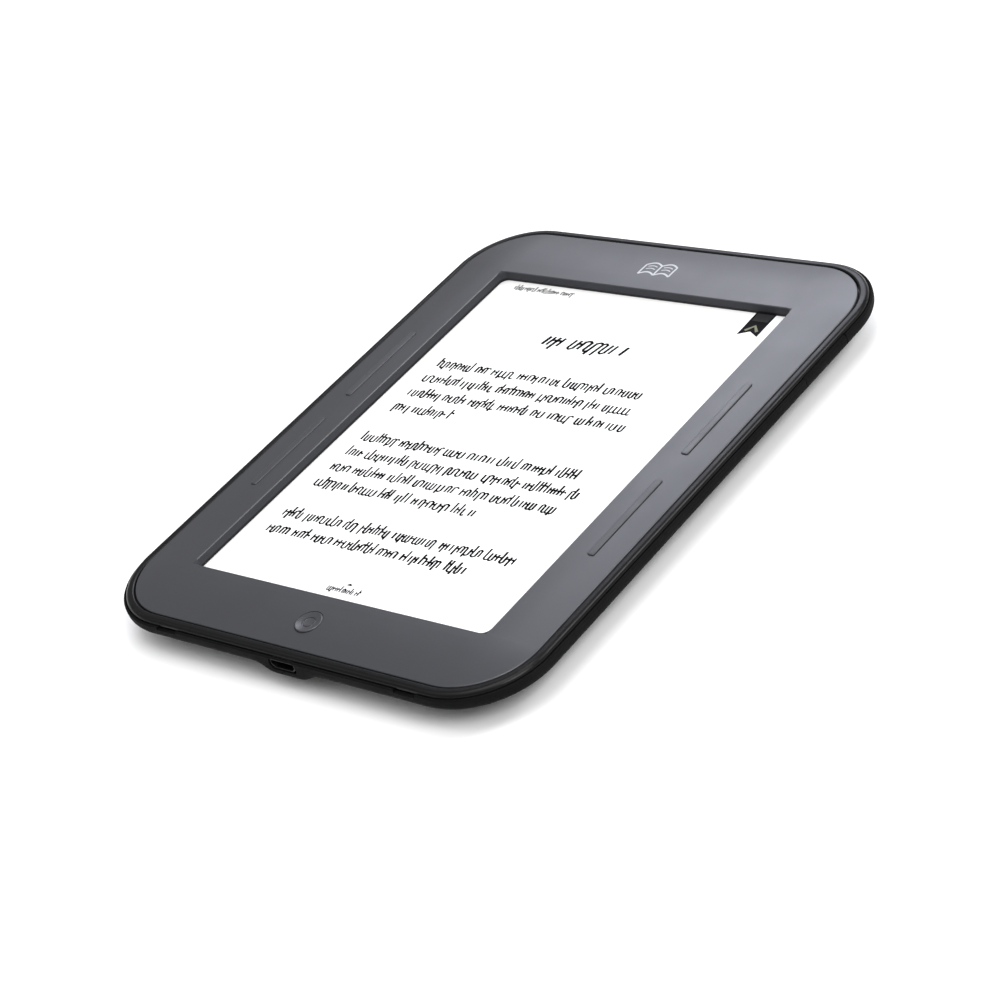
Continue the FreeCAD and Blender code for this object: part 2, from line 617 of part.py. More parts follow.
# ---- chassis and fasteners ----------------------------------------------------------------
def chassis_plate():
    """Stiff plate that carries the display on one side and the electronics on the other."""
    plate = slab(116.0, 150.6, 17.0, CHASSIS_Z, CHASSIS_TOP, 0, -1.1)
    ribs = [box(s * KEY_X - 1.6, s * KEY_X + 1.6, -36.6, 34.6, CHASSIS_TOP - 0.1, 8.55) for s in (-1, 1)]
    posts = [rod(x, y, BOARD_TOP, CHASSIS_Z + 0.1, 1.7) for x, y in BOARD_SCREWS]
    body = fuse([plate] + ribs + posts)
    mid = (DOOR_Y0 + DOOR_Y1) / 2
    tools = [box(44.4, 60, mid - 7.2, mid + 7.2, 6, 7.7),
             box(-44.6, -25.4, -73.6, -73.0 + 0.15, 6, 9),
             box(23.4, 33.6, -73.6, -73.0 + 0.15, 6, 9),
             box(-6.5, 6.5, -80, -74.2, 6, 9)]
    for side in (-1, 1):
        tools.append(box(side * KEY_X - 1.6, side * KEY_X + 1.6, -49.9, -48.9, 6, 9))
    tools += [rod(x, y, 5, 9, 0.9) for x, y in SCREW_PLACES]
    tools += [rod(x, y, 5, 7.6, 0.62) for x, y in BOARD_SCREWS + TRAY_SCREWS]
    for x, y, w, h in ((0, 12, 30, 34), (-30, 12, 22, 34), (0, -34, 60, 30)):
        tools.append(frame_groove(x, y, w, h))
    return cut(body, tools)


def frame_groove(x, y, w, h):
    """Shallow pressed line in the plate's upper side, which stiffens it."""
    outer = slab(w, h, 3, CHASSIS_TOP - 0.25, CHASSIS_TOP + 0.5, x, y)
    return outer.cut(slab(w - 1.6, h - 1.6, 2.2, CHASSIS_TOP - 1, CHASSIS_TOP + 1, x, y))


def screw(x, y, head_z, head_h, head_r, tip_z, shank_r):
    """Pan head screw, driven from behind, with a cross recess."""
    head = rod(x, y, head_z, head_z + head_h, head_r)
    head = head.makeFillet(0.25 * head_h, edges_at(head, head_z))
    shank = rod(x, y, head_z + head_h - 0.05, tip_z, shank_r)
    arm, half = 0.6 * head_r, 0.14
    cross = fuse([box(x - arm, x + arm, y - half, y + half, head_z - 1, head_z + 0.45 * head_h),
                  box(x - half, x + half, y - arm, y + arm, head_z - 1, head_z + 0.45 * head_h)])
    return fuse([head, shank]).cut(cross)


def screws(places, head_z, head_h, head_r, tip_z, shank_r):
    return Part.makeCompound([screw(x, y, head_z, head_h, head_r, tip_z, shank_r) for x, y in places])


# ---- battery ------------------------------------------------------------------------------
POUCH = (-47.5, 7.5, -39.5, 44.0)      # x0, x1, y0, y1


def battery_tray():
    x0, x1, y0, y1 = POUCH
    body = box(x0 - 1.1, x1 + 1.1, y0 - 5.3, y1 + 1.1, 3.2, 6.85)
    room = box(x0 - 0.3, x1 + 0.3, y0 - 4.5, y1 + 0.3, 3.0, 6.35)
    ears = [rod(x, y, 5.9, 6.85, 2.4) for x, y in TRAY_SCREWS]
    notch = box(x1 - 6, x1 + 3, y0 - 4.5, y0 - 0.6, 3.0, 5.5)
    return cut(fuse([body] + ears), [room, notch] + [rod(x, y, 5, 8, 0.75) for x, y in TRAY_SCREWS])


def battery_pouch():
    """Flat pouch cell with soft edges and a sealed flange at its lower end."""
    x0, x1, y0, y1 = POUCH
    cx, cy = (x0 + x1) / 2, (y0 + y1) / 2
    body = slab(x1 - x0, y1 - y0 - 2.5, 1.5, 2.75, 6.2, cx, cy + 1.25)
    body = body.makeFillet(0.7, edges_at(body, 2.75) + edges_at(body, 6.2))
    flange = box(x0 + 1.5, x1 - 1.5, y0, y0 + 3.2, 4.3, 4.6)
    return fuse([body, flange])


def battery_tape():
    x0, x1, y0, y1 = POUCH
    return Part.makeCompound([box(x0 + 4, x1 - 4, y, y + 9, 6.2, 6.35) for y in (y0 + 8, y1 - 20)])


def battery_protection_board():
    x0, x1, y0, y1 = POUCH
    body = box(x0 + 12, x1 - 12, y0 - 3.9, y0 - 0.4, 3.9, 4.5)
    chips = [box(x, x + 3, y0 - 3.2, y0 - 1.2, 3.3, 3.95) for x in (x0 + 15, x0 + 20, x0 + 27)]
    return fuse([body] + chips)


def battery_leads():
    """Three wires from the protection board to the plug."""
    y0 = POUCH[2]
    leads = []
    for i in range(3):
        y = y0 - 1.2 - i * 1.05
        leads.append(Part.makeCylinder(0.42, 19.3, V(POUCH[1] - 12.6, y, 4.95), V(1, 0, 0)))
    return Part.makeCompound(leads)


def battery_plug():
    y0 = POUCH[2]
    return box(14.2, 17.2, y0 - 4.6, y0 + 0.1, 4.35, 5.42)


def battery_socket():
    y0 = POUCH[2]
    outer = box(14.0, 19.6, y0 - 5.1, y0 + 0.6, 4.15, BOARD_Z)
    return outer.cut(box(13.5, 17.2, y0 - 4.6, y0 + 0.1, 4.35, 5.42))


# ---- electronics --------------------------------------------------------------------------
def main_board():
    """L-shaped board: a column up the right side and a foot along the lower edge."""
    mid = (DOOR_Y0 + DOOR_Y1) / 2
    z0, z1 = BOARD_Z, BOARD_TOP
    body = fuse([box(13, 50, -72.5, 66, z0, z1), box(-46, 54, -72.5, -49.2, z0, z1),
                 box(-54, -46, -62, -53, z0, z1), box(49, 55.5, mid - 6.7, mid + 6.7, z0, z1),
                 box(-4.8, 4.8, -79.2, -72, z0, z1)])
    corner_cut = [box(40, 60, -80, -68, z0 - 1, z1 + 1)]
    holes = [rod(x, y, 5, 7, 0.75) for x, y in BOARD_SCREWS]
    return cut(body, corner_cut + holes)


def shield(x0, x1, y0, y1, z0):
    """Pressed can that is open towards the board."""
    can = box(x0, x1, y0, y1, z0, BOARD_Z)
    can = can.makeFillet(0.3, edges_at(can, z0))
    return can.cut(box(x0 + 0.2, x1 - 0.2, y0 + 0.2, y1 - 0.2, z0 + 0.2, BOARD_Z + 1))


def memory_chips():
    return Part.makeCompound([box(20.5, 30.5, -8.5, 3.5, 4.4, BOARD_Z), box(33.5, 45.5, -9, 5, 4.6, BOARD_Z)])


def board_components():
    """Passive parts and small chips on the rear side of the board."""
    parts = [box(20, 25, -24, -19, 3.9, BOARD_Z), box(29, 34, -24, -19, 3.9, BOARD_Z),
             box(38, 44, -27, -21, 4.5, BOARD_Z), box(-20, -13, -60, -53, 4.5, BOARD_Z),
             box(-34, -29, -64, -59, 3.9, BOARD_Z), box(2, 8, -66, -60, 4.4, BOARD_Z)]
    for i in range(9):
        parts.append(box(18 + 3.2 * i, 19.6 + 3.2 * i, -33, -32.2, 4.9, BOARD_Z))
        parts.append(box(-27 + 4.4 * i, -25.4 + 4.4 * i, -68.4, -67.6, 4.9, BOARD_Z))
    return Part.makeCompound(parts)


def antenna():
    return slab(34, 7.5, 0.8, CHASSIS_Z - 0.15, CHASSIS_Z, -26, 58)


def antenna_cable():
    z = CHASSIS_Z - 0.62
    run = Part.makeCylinder(0.4, 28.0, V(-9.6, 58, z), V(1, 0, 0))
    plug = rod(19.0, 58, BOARD_TOP - 1.9, BOARD_TOP - BOARD_T, 1.1)
    drop = rod(-9.6, 58, z, CHASSIS_Z - 0.15, 0.4)
    end = Part.makeSphere(0.4, V(-9.6, 58, z))
    return Part.makeCompound([fuse([run.cut(box(11, 40, 50, 70, 5, 6.95)), drop, end]), plug])


def usb_socket():
    """Micro-USB socket: metal shell with flared lip, and the tongue inside it."""
    y0 = -HEIGHT / 2 + 0.25
    half_w, half_h, wall, depth = 3.75, 1.22, 0.25, 5.3

    def shell(w, h, y, length):
        pts = [(-w, h), (-w, -h + 0.8), (-w + 0.9, -h), (w - 0.9, -h), (w, -h + 0.8), (w, h)]
        solid = Part.Face(Part.Wire(profile(pts))).extrude(V(0, length, 0))
        solid.translate(V(0, y, USB_Z))
        return solid

    body = shell(half_w, half_h, y0, depth)
    bore = shell(half_w - wall, half_h - wall, y0 - 1, depth)
    tongue = box(-2.6, 2.6, y0 + 0.9, y0 + depth - 0.2, USB_Z + 0.15, USB_Z + 0.65)
    feet = [box(s * 3.3 - 0.5, s * 3.3 + 0.5, y0 + 3.3, y0 + 5.0, BOARD_TOP, USB_Z) for s in (-1, 1)]
    return fuse([body.cut(bore), tongue] + [f.cut(bore) for f in feet])


def card_socket():
    """Push-push memory card socket with its pressed metal cover."""
    mid = (DOOR_Y0 + DOOR_Y1) / 2
    body = box(44.8, 58.0, mid - 6.8, mid + 6.8, BOARD_TOP, 7.68)
    way = box(46.5, 59, mid - 5.6, mid + 5.6, 6.65, 7.48)
    windows = [box(48.5, 55.5, mid + s - 1.4, mid + s + 1.4, 7.4, 8) for s in (-3.2, 3.2)]
    return cut(body, [way] + windows)


# ---- build --------------------------------------------------------------------------------
def build():
    os.makedirs("parts", exist_ok=True)
    outer = cover_outer()
    nodes = {
        "rear_cover": rear_cover(outer),
        "outer_rim": outer_rim(),
        "front_bezel": front_bezel(),
        "infrared_filter": infrared_filter(),
        "card_door": card_door(outer),
        "card_door_pin": door_pin_bore(DOOR_PIN),
        "display_glass": display_glass(),
        "epaper_film": epaper_film(),
        "display_driver": display_driver(),
        "display_flex": display_flex(),
        "display_connector": display_connector(),
        "display_tape": display_tape(),
        "display_gasket": display_gasket(),
        "touch_board": touch_board(),
        "infrared_emitters": infrared_parts(("left", "bottom")),
        "infrared_detectors": infrared_parts(("right", "top")),
        "touch_flex": touch_flex(),
        "touch_connector": touch_connector(),
        "home_button": home_button(),
        "home_button_pad": home_button_pad(),
        "home_dome": home_dome(),
        "power_button": power_button(outer),
        "power_button_pad": power_button_pad(),
        "power_switch": power_switch(),
        "power_board": power_board(),
        "chassis_plate": chassis_plate(),
        "chassis_screws": screws(SCREW_PLACES, CHASSIS_Z - 0.8, 0.8, 1.4, 9.6, 0.78),
        "battery_tray": battery_tray(),
        "battery_tray_screws": screws(TRAY_SCREWS, 5.2, 0.7, 1.3, 7.55, 0.6),
        "battery_pouch": battery_pouch(),
        "battery_tape": battery_tape(),
        "battery_protection_board": battery_protection_board(),
        "battery_leads": battery_leads(),
        "battery_plug": battery_plug(),
        "battery_socket": battery_socket(),
        "main_board": main_board(),
        "board_screws": screws(BOARD_SCREWS, BOARD_Z - 0.7, 0.7, 1.4, 7.55, 0.6),
        "processor_shield": shield(19, 46, 10, 29, 4.0),
        "processor_chip": box(25, 39, 12.5, 26.5, 4.4, BOARD_Z),
        "memory_chips": memory_chips(),
        "radio_shield": shield(24, 38, 44, 58, 4.1),
        "radio_chip": box(27, 35, 47, 55, 4.5, BOARD_Z),
        "board_components": board_components(),
        "antenna": antenna(),
        "antenna_cable": antenna_cable(),
        "usb_socket": usb_socket(),
        "card_socket": card_socket(),
    }
    for side, word in ((-1, "left"), (1, "right")):
        nodes[f"key_flex_{word}"] = key_flex(side)
        nodes[f"key_domes_{word}"] = key_domes(side)
        for y, level in zip(KEY_CENTRES, ("upper", "lower")):
            nodes[f"page_key_{word}_{level}"] = page_key(side, y)
            nodes[f"page_key_pads_{word}_{level}"] = page_key_pads(side, y)
    for name, shape in nodes.items():
        save(name, shape)
    print(len(nodes), "nodes")


build()
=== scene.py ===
"""Looks of a six-inch e-reader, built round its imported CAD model.

The frame is the CAD model's: +X to the reader's right, +Y to its top edge, +Z out of the screen, and
the reader lies on its back on Z = 0. Blender's unit is the metre; sizes here are in millimetres times MM.
"""
import json
import math
import random

import bmesh
import bpy
from mathutils import Matrix, Vector
from mathutils.bvhtree import BVHTree


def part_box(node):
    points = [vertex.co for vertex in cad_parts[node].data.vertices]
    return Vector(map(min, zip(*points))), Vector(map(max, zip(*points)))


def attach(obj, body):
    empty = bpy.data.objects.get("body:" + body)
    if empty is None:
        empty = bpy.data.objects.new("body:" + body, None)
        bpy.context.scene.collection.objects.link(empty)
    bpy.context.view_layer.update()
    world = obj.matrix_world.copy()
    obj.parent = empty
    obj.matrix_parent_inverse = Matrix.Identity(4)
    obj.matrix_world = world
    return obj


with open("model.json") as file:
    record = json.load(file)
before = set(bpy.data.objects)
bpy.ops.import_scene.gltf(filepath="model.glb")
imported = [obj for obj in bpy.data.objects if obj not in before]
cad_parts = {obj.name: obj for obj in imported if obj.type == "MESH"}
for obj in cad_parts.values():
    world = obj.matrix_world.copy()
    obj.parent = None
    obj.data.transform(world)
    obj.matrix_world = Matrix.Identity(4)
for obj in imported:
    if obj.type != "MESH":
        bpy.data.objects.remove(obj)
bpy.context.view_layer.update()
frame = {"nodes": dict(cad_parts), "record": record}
NODES = frame["nodes"]
MM = 0.001
BODY = "reader"                                 # every added piece rides on it
OWN_FINISH = {"usb_socket": "port_shell"}       # nodes whose look differs from the rest of their slot

# ---- camera and light ----------------------------------------------------------------------
CAMERA_AT = Vector((433.5, -372.2, 358.6)) * MM
CAMERA_AIM = Vector((4.05, -10.05, 0.0)) * MM
CAMERA_ROLL = math.radians(-21.25)
CAMERA_LENS, CAMERA_SENSOR = 102.2, 36.0        # in millimetres
CAMERA_CLIP = (0.01, 50.0)    # in metres
FLOOR_SIZE = 8.0              # in metres
WORLD_STRENGTH = 0.36
LIGHTS = (                    # name, azimuth, elevation, distance and size in metres, watts, colour
    ("top_key", 0, 85, 1.5, (1.0, 1.0), 9.5, (1.0, 1.0, 1.0)),
    ("right_key", 345, 40, 1.3, (0.6, 0.5), 9.0, (1.0, 1.0, 1.0)),
    ("front_key", 285, 62, 1.5, (1.0, 1.0), 4.5, (1.0, 1.0, 1.0)),
    ("left_key", 224, 54, 1.5, (1.0, 1.0), 2.5, (1.0, 1.0, 1.0)),
    ("back_sheen", 115, 35, 1.5, (0.9, 0.55), 8.3, (0.86, 0.88, 1.0)),
    ("rim_key", 45, 38, 1.3, (0.5, 0.35), 6.0, (1.0, 1.0, 1.0)),
)

# ---- the window, in millimetres ------------------------------------------------------------
WINDOW_W, WINDOW_H, WINDOW_Y = 91.7, 122.8, -1.04
WINDOW_MARGIN = 0.05          # past the window's size, what is still one of its walls
FILTER_PRINT_Z = 9.75         # above it the filter is printed in the face's colour
FACE_SPECULAR, WALL_SPECULAR = 0.6, 0.12
BORDER_BLUR, BORDER_WOBBLE = 0.02, 0.06         # of a border between two colours

# ---- what is printed, in millimetres -------------------------------------------------------
INK_T = 0.012                 # height of the ink over the page
INK_SINK = 0.4                # share of that height which it also goes into the page
TEXT_LEFT = -39.2
LINE_PITCH = 6.1
X_HEIGHT = 2.2
PARAGRAPHS = (                # middle of the first line, then where each line ends
    (24.1, (26.9, 26.9, 29.8, -20.2)),
    (-6.8, (29.1, 33.5, 31.4, 12.3)),
    (-37.2, (34.1, 24.1)),
)
TITLE = (-15.8, 10.4, 39.1, 3.4)          # left, right, middle, height of a low stroke
HEADER = (-40.2, -20.2, 57.8, 1.25)
PAGE_NUMBER = (-7.1, 3.1, -57.5, 1.3)
PAGE_TICK = (-2.1, -55.2)
TICK_W, TICK_DOWN, TICK_UP = 1.8, 0.35, 0.5
RIBBON_LEFT, RIBBON_RIGHT = 34.5, 40.4
RIBBON_TOP, RIBBON_BOTTOM, RIBBON_NOTCH = 60.75, 51.5, 1.7
FOLD_H, FOLD_FOOT_IN, FOLD_TOP_IN = 3.4, 0.7, 0.35
CHEVRON_IN, CHEVRON_FOOT, CHEVRON_TOP, CHEVRON_PEN = 1.2, 1.9, 4.0, 0.8

# ---- the open book on the bezel, in millimetres --------------------------------------------
BOOK_AT = (-0.5, 68.9)
BOOK_W, BOOK_H, BOOK_PEN = 9.6, 4.9, 0.5
BOOK_BOW = 0.22               # rise of a page's curve, as a share of the height
BOOK_TOP = 0.7                # top of the pages at the spine, as a share of half the height
BOOK_LINES = (0.15, -0.32)    # lines on a page, as shares of half the height
BOOK_LINE_ENDS = (0.22, 0.80)                   # shares of a page's width
BOOK_LINE_PEN = 0.6           # share of the outline's pen
BOOK_BOW_STEPS, BOOK_SIDE_STEPS = 12, 8

# ---- the page's abstract writing, in shares of the height of a low stroke ------------------
WORD_STROKES = (4, 13)        # fewest and most strokes in a word
STROKE_STEP = 0.47            # from one stroke to the next; the gaps below are shares of it
STROKE_GAPS = (0.9, 1.0, 1.25)
WORD_GAP = 1.15
WORD_END = 0.4                # no stroke starts nearer than this to its word's end
STROKE_PEN, TITLE_PEN, PEN_SPREAD = 0.28, 0.25, (0.85, 1.15)
TITLE_SLANT = 0.25
TALL_ABOVE, TALL_H = 0.84, 1.62                 # a throw above it makes a tall stroke
DEEP_BELOW, DEEP_H = 0.10, 0.45                 # a throw below it makes one that reaches below the line
ARC_SHARE = 0.8               # how many strokes are joined to the next
ARC_RISES = (0.0, 0.5, 1.0)   # at the foot, the middle or the top
ARC_FOOT, ARC_REACH, ARC_SAG = 0.06, 0.82, 0.18
ARC_PEN, ARC_POINTS = 0.85, 6                   # pen as a share of the stroke's

# ---- the port's contacts, in millimetres from the low corner of its socket -----------------
CONTACT_Y, CONTACT_Z = 1.1, 1.70
CONTACT_L, CONTACT_W, CONTACT_T = 2.6, 0.30, 0.03
CONTACT_COUNT, CONTACT_PITCH = 5, 0.65


# ---- materials -----------------------------------------------------------------------------
class Shade:
    """Builds one procedural material; lengths are in millimetres."""

    def __init__(self, name):
        self.material = bpy.data.materials.new(name)
        self.material.use_nodes = True
        self.tree = self.material.node_tree
        self.skin = self.tree.nodes["Principled BSDF"]
        self.place = self.node("ShaderNodeTexCoord").outputs["Object"]

    def node(self, kind, **settings):
        made = self.tree.nodes.new(kind)
        for key, value in settings.items():
            setattr(made, key, value)
        return made

    def link(self, source, target):
        self.tree.links.new(source, target)

    def feed(self, socket, value):
        """Links a node's output to the socket, or sets the socket to a plain value."""
        if isinstance(value, bpy.types.NodeSocket):
            self.link(value, socket)
        else:
            socket.default_value = value

    def noise(self, size, detail=3.0, rough=0.6, stretch=None):
        place = self.place
        if stretch:
            mapping = self.node("ShaderNodeMapping")
            self.link(place, mapping.inputs["Vector"])
            mapping.inputs["Scale"].default_value = stretch
            place = mapping.outputs["Vector"]
        made = self.node("ShaderNodeTexNoise")
        self.link(place, made.inputs["Vector"])
        made.inputs["Scale"].default_value = 1 / (size * MM)
        made.inputs["Detail"].default_value = detail
        made.inputs["Roughness"].default_value = rough
        return made.outputs["Fac"]

    def cells(self, size, feature="F1"):
        made = self.node("ShaderNodeTexVoronoi", feature=feature)
        self.link(self.place, made.inputs["Vector"])
        made.inputs["Scale"].default_value = 1 / (size * MM)
        return made.outputs["Distance"]

    def waves(self, size, direction, distortion):
        made = self.node("ShaderNodeTexWave", bands_direction=direction)
        self.link(self.place, made.inputs["Vector"])
        made.inputs["Scale"].default_value = 0.3 / (size * MM)
        made.inputs["Distortion"].default_value = distortion
        made.inputs["Detail Scale"].default_value = 0.4
        return made.outputs["Fac"]

    def math(self, operation, a, b=0.0):
        made = self.node("ShaderNodeMath", operation=operation)
        self.feed(made.inputs[0], a)
        self.feed(made.inputs[1], b)
        return made.outputs[0]

    def remap(self, value, low, high, to_low=0.0, to_high=1.0):
        made = self.node("ShaderNodeMapRange")
        self.link(value, made.inputs["Value"])
        for key, number in zip(("From Min", "From Max", "To Min", "To Max"), (low, high, to_low, to_high)):
            made.inputs[key].default_value = number
        return made.outputs["Result"]

    def vary(self, noise, a=0.0, b=1.0):
        """Stretches the usual range of a noise to run from a to b."""
        return self.remap(noise, 0.3, 0.7, a, b)

    def mix(self, share, a, b):
        made = self.node("ShaderNodeMix", data_type="RGBA")
        self.feed(made.inputs["Factor"], share)
        for socket, value in ((made.inputs["A"], a), (made.inputs["B"], b)):
            colours = [s for s in made.inputs if s.name == socket.name and s.type == "RGBA"]
            self.feed(colours[0], value)
        return [s for s in made.outputs if s.type == "RGBA"][0]

    def edges(self, radius):
        """1 on edges sharper than the radius, 0 on open faces."""
        bevel = self.node("ShaderNodeBevel", samples=6)
        bevel.inputs["Radius"].default_value = radius * MM
        shape = self.node("ShaderNodeNewGeometry")
        dot = self.node("ShaderNodeVectorMath", operation="DOT_PRODUCT")
        self.link(bevel.outputs["Normal"], dot.inputs[0])
        self.link(shape.outputs["Normal"], dot.inputs[1])
        return self.remap(dot.outputs["Value"], 0.995, 0.85)

    def rub(self, body, lighter, share, radius, patch, low=0.35):
        """Body colour with its sharp edges rubbed lighter, in patches."""
        rubbed = self.math("MULTIPLY", self.edges(radius), self.remap(self.noise(patch), low, 0.7))
        return self.mix(self.math("MULTIPLY", rubbed, share), body, lighter)

    def spot(self, axis):
        """Object coordinate along an axis, in millimetres."""
        split = self.node("ShaderNodeSeparateXYZ")
        self.link(self.place, split.inputs[0])
        return self.math("MULTIPLY", split.outputs[axis], 1 / MM)

    def relief(self, height, depth, below=None):
        made = self.node("ShaderNodeBump")
        made.inputs["Strength"].default_value = 1.0
        made.inputs["Distance"].default_value = depth * MM
        self.link(height, made.inputs["Height"])
        if below:
            self.link(below, made.inputs["Normal"])
        return made.outputs["Normal"]

    def done(self, colour, rough, normal=None, metal=0.0, specular=0.5):
        self.feed(self.skin.inputs["Base Color"], colour)
        self.feed(self.skin.inputs["Roughness"], rough)
        if normal:
            self.link(normal, self.skin.inputs["Normal"])
        self.skin.inputs["Metallic"].default_value = metal
        self.skin.inputs["Specular IOR Level"].default_value = specular
        return self.material


def rgb(r, g, b):
    return (r, g, b, 1.0)


def tinted(colour, factor):
    return tuple(min(1.0, c * factor) for c in colour[:3]) + (1.0,)


def moulded(name, colour, rough, grain=0.16, depth=0.006, specular=0.5, spread=0.12, wear=0.5):
    """Moulded plastic: fine grain, slow changes of tone and gloss, and edges rubbed lighter."""
    s = Shade(name)
    fine = s.noise(grain)
    slow = s.noise(26.0, detail=4.0)
    tone = s.math("ADD", s.math("MULTIPLY", fine, 0.5), s.math("MULTIPLY", slow, 0.5))
    body = s.mix(s.remap(tone, 0.35, 0.65), tinted(colour, 1 - spread), tinted(colour, 1 + spread))
    body = s.rub(body, tinted(colour, 2.2), wear, radius=0.22, patch=1.4)
    gloss = s.vary(s.noise(9.0, detail=5.0), rough - 0.05, rough + 0.05)
    return s.done(body, gloss, s.relief(fine, depth), specular=specular)


def window_wall(s):
    """1 on the upright walls of the window, 0 on the face round it."""
    across = s.math("SUBTRACT", s.math("ABSOLUTE", s.spot("X")), WINDOW_W / 2 + WINDOW_MARGIN)
    along = s.math("ABSOLUTE", s.math("SUBTRACT", s.spot("Y"), WINDOW_Y))
    along = s.math("SUBTRACT", along, WINDOW_H / 2 + WINDOW_MARGIN)
    return s.remap(s.math("MAXIMUM", across, along), BORDER_BLUR, -BORDER_BLUR)


def painted_light_wall_tone(s, fine, colour):
    """The face's colour on the window's walls, painted a little lighter: painted light standing in for the
    light that falls on the walls.
    """
    return s.mix(s.vary(fine), colour, tinted(colour, 1.25))


def face_plastic(name, colour, rough):
    """The bezel's fine matt grain; the walls of its window are duller, and painted lighter as painted
    light.
    """
    s = Shade(name)
    fine = s.noise(0.20)
    slow = s.noise(30.0, detail=4.0)
    tone = s.math("ADD", s.math("MULTIPLY", fine, 0.6), s.math("MULTIPLY", slow, 0.4))
    body = s.mix(s.remap(tone, 0.35, 0.65), tinted(colour, 0.95), tinted(colour, 1.05))
    body = s.rub(body, tinted(colour, 1.8), 0.25, radius=0.2, patch=1.4)
    wall = window_wall(s)
    # on the window's walls the colour is painted lighter: painted light, not the plastic's own tone
    body = s.mix(wall, body, painted_light_wall_tone(s, fine, colour))
    gloss = s.vary(s.noise(9.0, detail=5.0), rough - 0.02, rough + 0.02)
    gloss = s.math("ADD", gloss, s.math("MULTIPLY", wall, 0.3))
    made = s.done(body, gloss, s.relief(fine, 0.003))
    s.feed(s.skin.inputs["Specular IOR Level"], s.remap(wall, 0.0, 1.0, FACE_SPECULAR, WALL_SPECULAR))
    return made


def filter_plastic(name, dark, colour):
    """Dark filter strip at the foot of the window's walls, with the face's colour printed above it,
    painted lighter there as painted light.
    """
    s = Shade(name)
    fine = s.noise(0.3)
    height = s.spot("Z")
    wobble = s.math("MULTIPLY", s.math("SUBTRACT", s.noise(0.4), 0.5), BORDER_WOBBLE)
    edge = s.math("ADD", height, wobble)
    printed = s.remap(edge, FILTER_PRINT_Z - BORDER_BLUR, FILTER_PRINT_Z + BORDER_BLUR)
    low = s.mix(s.vary(fine), tinted(dark, 0.8), tinted(dark, 1.2))
    # the printed upper part gets the walls' lighter tone: painted light
    high = painted_light_wall_tone(s, fine, colour)
    gloss = s.remap(printed, 0.0, 1.0, 0.35, 0.64)
    return s.done(s.mix(printed, low, high), gloss, s.relief(fine, 0.002), specular=WALL_SPECULAR)


def soft_touch(name, colour):
    """Rubber coat with a fine pebbled grain and faint handling marks."""
    s = Shade(name)
    pebbles = s.cells(0.42, "SMOOTH_F1")
    fine = s.noise(0.12)
    marks = s.noise(14.0, detail=6.0, rough=0.65)
    body = s.mix(s.remap(pebbles, 0.1, 0.6), tinted(colour, 1.2), tinted(colour, 0.75))
    body = s.mix(s.math("MULTIPLY", s.remap(marks, 0.5, 0.75), 0.35), body, tinted(colour, 1.5))
    body = s.rub(body, tinted(colour, 2.0), 0.4, radius=0.3, patch=2.0, low=0.4)
    gloss = s.remap(marks, 0.35, 0.7, 0.78, 0.62)
    normal = s.relief(pebbles, -0.035, s.relief(fine, 0.006))
    return s.done(body, gloss, normal, specular=0.06)


def page_surface(name):
    """Matt film over white ink cells."""
    s = Shade(name)
    cells = s.cells(0.09)
    slow = s.noise(18.0, detail=3.0)
    body = s.mix(s.remap(cells, 0.0, 0.6), rgb(0.89, 0.89, 0.885), rgb(0.86, 0.86, 0.855))
    body = s.mix(s.vary(slow, 0.0, 0.25), body, rgb(0.90, 0.905, 0.90))
    gloss = s.vary(s.noise(0.2), 0.55, 0.66)
    return s.done(body, gloss, s.relief(s.noise(0.05), 0.001), specular=0.3)


def ink(name, colour):
    """Printed or displayed ink with the page's cell grain in its tone."""
    s = Shade(name)
    cells = s.cells(0.09)
    body = s.mix(s.remap(cells, 0.1, 0.6), tinted(colour, 0.8), tinted(colour, 1.2))
    return s.done(body, s.vary(s.noise(0.3), 0.5, 0.62), s.relief(cells, 0.001), specular=0.03)


def metal_sheet(name, colour, rough, stretch=(1.0, 14.0, 14.0)):
    """Rolled or plated sheet: long scratches along X, cloudy gloss, bright edges."""
    s = Shade(name)
    lines = s.noise(0.5, detail=4.0, rough=0.7, stretch=stretch)
    cloud = s.noise(6.0, detail=4.0)
    body = s.mix(s.vary(lines), tinted(colour, 0.82), tinted(colour, 1.12))
    body = s.mix(s.math("MULTIPLY", s.edges(0.12), 0.6), body, tinted(colour, 1.4))
    gloss = s.vary(cloud, rough - 0.08, rough + 0.08)
    return s.done(body, gloss, s.relief(lines, 0.004), metal=1.0)


def foil(name, colour):
    """Laminated foil with soft dents."""
    s = Shade(name)
    dents = s.noise(5.0, detail=5.0, rough=0.55)
    fine = s.noise(0.3)
    body = s.mix(s.vary(fine), tinted(colour, 0.9), tinted(colour, 1.05))
    gloss = s.vary(dents, 0.28, 0.42)
    return s.done(body, gloss, s.relief(dents, 0.12, s.relief(fine, 0.003)), metal=0.85)


def circuit_board(name):
    """Solder mask over copper tracks, with a woven glass grain."""
    s = Shade(name)
    across = s.remap(s.waves(1.1, "X", 3.0), 0.62, 0.72)
    along = s.remap(s.waves(1.3, "Y", 3.0), 0.66, 0.76)
    tracks = s.math("MULTIPLY", s.math("MAXIMUM", across, along), s.remap(s.noise(7.0), 0.42, 0.5))
    weave = s.noise(0.4, detail=2.0, stretch=(1.0, 5.0, 1.0))
    mask = s.mix(s.vary(weave), rgb(0.012, 0.085, 0.040), rgb(0.018, 0.115, 0.055))
    body = s.mix(s.math("MULTIPLY", tracks, 0.8), mask, rgb(0.05, 0.26, 0.11))
    return s.done(body, s.vary(weave, 0.30, 0.42), s.relief(tracks, 0.02, s.relief(weave, 0.003)))


